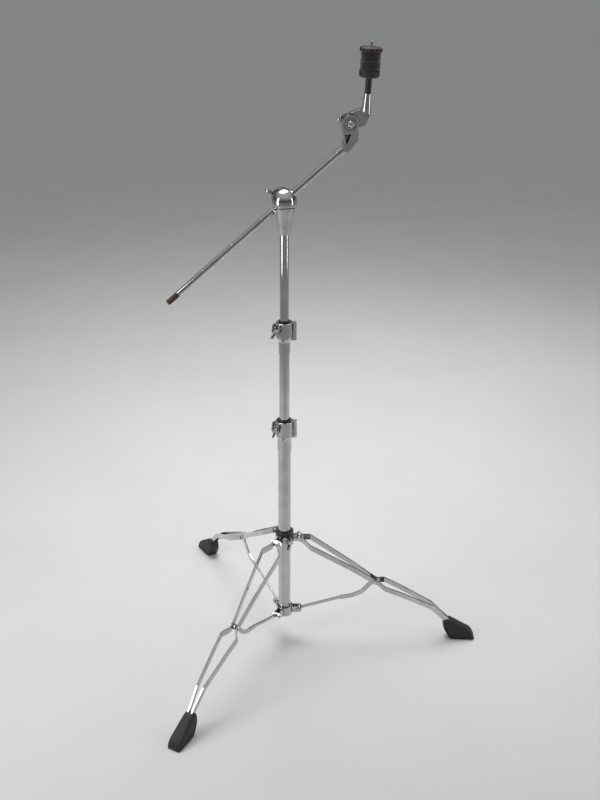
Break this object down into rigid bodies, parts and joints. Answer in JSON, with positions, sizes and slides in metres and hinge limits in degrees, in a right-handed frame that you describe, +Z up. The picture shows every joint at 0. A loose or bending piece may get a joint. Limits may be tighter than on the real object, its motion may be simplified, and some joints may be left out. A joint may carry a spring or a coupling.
{
  "type": "cymbal boom stand",
  "caption": "Chrome cymbal boom stand: folding double-braced tripod, sliding tubes with hinged clamps, ball tilter, boom and felted cymbal tilter.",
  "frame": {"origin": "centre of the bounding box's bottom face, on the floor", "axes": "+Z up along the pole, +X along one tripod leg, the boom rising towards +X turned 12 degrees to +Y; the front seen in the picture is -Y"},
  "size_m": [0.6985, 0.8058, 1.3771],
  "materials": {
    "chrome": "polished, lightly smudged",
    "rubber": "matt moulded",
    "nylon": "satin",
    "steel": "machined",
    "threaded_steel": "threaded, dark plated",
    "end_cap": "satin",
    "sleeve": "matt",
    "felt": "pressed felt",
    "nut": "satin"
  },
  "bodies": {
    "base": {"base_tube": "chrome", "lower_hub": "chrome", "brace_pins": "chrome", "lower_clamp_body": "chrome", "lower_clamp_hinge_pin": "steel", "lower_clamp_set_screw": "steel"},
    "collar": {"leg_collar": "chrome", "collar_nylon_ring": "nylon", "leg_pivot_bolts": "chrome"},
    "collar_wing": {"collar_wing_bolt": "chrome"},
    "lower_jaw": {"lower_clamp_jaw": "chrome"},
    "lower_wing": {"lower_clamp_wing_bolt": "chrome"},
    "lower_bush": {"lower_clamp_bush": "nylon"},
    "middle": {"middle_tube": "chrome", "upper_clamp_body": "chrome", "upper_clamp_hinge_pin": "steel", "upper_clamp_set_screw": "steel"},
    "upper_jaw": {"upper_clamp_jaw": "chrome"},
    "upper_wing": {"upper_clamp_wing_bolt": "chrome"},
    "upper_bush": {"upper_clamp_bush": "nylon"},
    "top": {"top_tube": "chrome", "tilter_cone": "chrome", "tilter_cone_pin": "steel"},
    "head": {"tilter_ball": "chrome", "boom_shoe": "steel"},
    "tilt_wing": {"tilt_wing_bolt": "chrome"},
    "boom": {"boom_rod": "chrome", "boom_end_cap": "end_cap"},
    "tilter_base": {"tilter_lower_arm": "chrome", "tilter_joint_bolt": "chrome"},
    "tilter_wing": {"tilter_wing_nut": "chrome"},
    "tilter_arm": {"tilter_upper_arm": "chrome", "cymbal_post": "threaded_steel"},
    "sleeve": {"post_sleeve": "sleeve"},
    "seat": {"cymbal_seat": "sleeve"},
    "felt_low": {"lower_felt": "felt"},
    "felt_top": {"upper_felt": "felt"},
    "nut": {"quick_nut": "nut"},
    "leg_right": {"leg_right_bar_a": "chrome", "leg_right_bar_b": "chrome", "leg_right_rivets": "chrome", "leg_right_boot": "rubber"},
    "brace_right": {"brace_right": "chrome", "brace_right_spacers": "nylon"},
    "leg_front": {"leg_front_bar_a": "chrome", "leg_front_bar_b": "chrome", "leg_front_rivets": "chrome", "leg_front_boot": "rubber"},
    "brace_front": {"brace_front": "chrome", "brace_front_spacers": "nylon"},
    "leg_back": {"leg_back_bar_a": "chrome", "leg_back_bar_b": "chrome", "leg_back_rivets": "chrome", "leg_back_boot": "rubber"},
    "brace_back": {"brace_back": "chrome", "brace_back_spacers": "nylon"}
  },
  "joints": [
    {"name": "collar_slide", "type": "slide", "parent": "base", "child": "collar", "axis": [0, 0, 1], "range_m": [0, 0.203]},
    {"name": "collar_wing_turn", "type": "hinge", "parent": "collar", "child": "collar_wing", "pos_m": [-0.10759, 0, 0.2795], "axis": [0.5, -0.866, 0], "continuous": true},
    {"name": "leg_right_fold", "type": "hinge", "parent": "collar", "child": "leg_right", "pos_m": [-0.07459, 0, 0.281], "axis": [0, 1, 0], "range_deg": [0, 45.54]},
    {"name": "brace_right_fold", "type": "hinge", "parent": "base", "child": "brace_right", "pos_m": [-0.07359, 0, 0.081], "axis": [0, -1, 0], "range_deg": [0, 54.34]},
    {"name": "leg_front_fold", "type": "hinge", "parent": "collar", "child": "leg_front", "pos_m": [-0.12409, -0.02858, 0.281], "axis": [0.866, -0.5, 0], "range_deg": [0, 45.54]},
    {"name": "brace_front_fold", "type": "hinge", "parent": "base", "child": "brace_front", "pos_m": [-0.12459, -0.02944, 0.081], "axis": [-0.866, 0.5, 0], "range_deg": [0, 54.34]},
    {"name": "leg_back_fold", "type": "hinge", "parent": "collar", "child": "leg_back", "pos_m": [-0.12409, 0.02858, 0.281], "axis": [-0.866, -0.5, 0], "range_deg": [0, 45.54]},
    {"name": "brace_back_fold", "type": "hinge", "parent": "base", "child": "brace_back", "pos_m": [-0.12459, 0.02944, 0.081], "axis": [0.866, 0.5, 0], "range_deg": [0, 54.34]},
    {"name": "lower_jaw_open", "type": "hinge", "parent": "base", "child": "lower_jaw", "pos_m": [-0.08549, 0, 0.565], "axis": [0, 0, 1], "range_deg": [0, 3]},
    {"name": "lower_wing_turn", "type": "hinge", "parent": "lower_jaw", "child": "lower_wing", "pos_m": [-0.12769, 0, 0.565], "axis": [0, -1, 0], "continuous": true},
    {"name": "lower_swivel", "type": "hinge", "parent": "base", "child": "lower_bush", "pos_m": [-0.10759, 0, 0.565], "axis": [0, 0, 1], "continuous": true},
    {"name": "upper_jaw_open", "type": "hinge", "parent": "middle", "child": "upper_jaw", "pos_m": [-0.08699, 0, 0.797], "axis": [0, 0, 1], "range_deg": [0, 3]},
    {"name": "upper_wing_turn", "type": "hinge", "parent": "upper_jaw", "child": "upper_wing", "pos_m": [-0.12619, 0, 0.797], "axis": [0, -1, 0], "continuous": true},
    {"name": "upper_swivel", "type": "hinge", "parent": "middle", "child": "upper_bush", "pos_m": [-0.10759, 0, 0.797], "axis": [0, 0, 1], "continuous": true},
    {"name": "middle_tube_slide", "type": "slide", "parent": "lower_bush", "child": "middle", "axis": [0, 0, 1], "range_m": [-0.15, 0.13]},
    {"name": "top_tube_slide", "type": "slide", "parent": "upper_bush", "child": "top", "axis": [0, 0, 1], "range_m": [-0.18, 0.15]},
    {"name": "boom_tilt", "type": "hinge", "parent": "top", "child": "head", "pos_m": [-0.10883, 0.00587, 1.073], "axis": [0.2079, -0.9781, 0], "range_deg": [-85, 18]},
    {"name": "tilt_wing_turn", "type": "hinge", "parent": "top", "child": "tilt_wing", "pos_m": [-0.11382, 0.02934, 1.073], "axis": [-0.2079, 0.9781, 0], "continuous": true},
    {"name": "boom_slide", "type": "slide", "parent": "head", "child": "boom", "axis": [0.7526, 0.16, 0.6388], "range_m": [-0.095, 0.25]},
    {"name": "tilter_swivel", "type": "hinge", "parent": "boom", "child": "tilter_base", "pos_m": [-0.10883, 0.00587, 1.0715], "axis": [0.7526, 0.16, 0.6388], "continuous": true},
    {"name": "tilter_wing_turn", "type": "hinge", "parent": "tilter_base", "child": "tilter_wing", "pos_m": [0.01659, 0.04684, 1.2235], "axis": [-0.2079, 0.9781, 0], "continuous": true},
    {"name": "cymbal_tilt", "type": "hinge", "parent": "tilter_base", "child": "tilter_arm", "pos_m": [0.01867, 0.03706, 1.2235], "axis": [-0.2079, 0.9781, 0], "range_deg": [-75, 65]},
    {"name": "sleeve_lift", "type": "slide", "parent": "tilter_arm", "child": "sleeve", "axis": [0.0512, 0.0109, 0.9986], "range_m": [0, 0.105]},
    {"name": "seat_lift", "type": "slide", "parent": "sleeve", "child": "seat", "axis": [0.0512, 0.0109, 0.9986], "range_m": [0, 0.07]},
    {"name": "lower_felt_lift", "type": "slide", "parent": "seat", "child": "felt_low", "axis": [0.0512, 0.0109, 0.9986], "range_m": [0, 0.06]},
    {"name": "upper_felt_lift", "type": "slide", "parent": "felt_low", "child": "felt_top", "axis": [0.0512, 0.0109, 0.9986], "range_m": [0, 0.045]},
    {"name": "nut_lift", "type": "slide", "parent": "felt_top", "child": "nut", "axis": [0.0512, 0.0109, 0.9986], "range_m": [0, 0.03]}
  ],
  "couplings": [
    {"joint": "leg_right_fold", "follows": "collar_slide", "rad_per_m": 3.9107},
    {"joint": "brace_right_fold", "follows": "collar_slide", "rad_per_m": 4.6679},
    {"joint": "leg_front_fold", "follows": "collar_slide", "rad_per_m": 3.9107},
    {"joint": "brace_front_fold", "follows": "collar_slide", "rad_per_m": 4.6679},
    {"joint": "leg_back_fold", "follows": "collar_slide", "rad_per_m": 3.9107},
    {"joint": "brace_back_fold", "follows": "collar_slide", "rad_per_m": 4.6679}
  ]
}
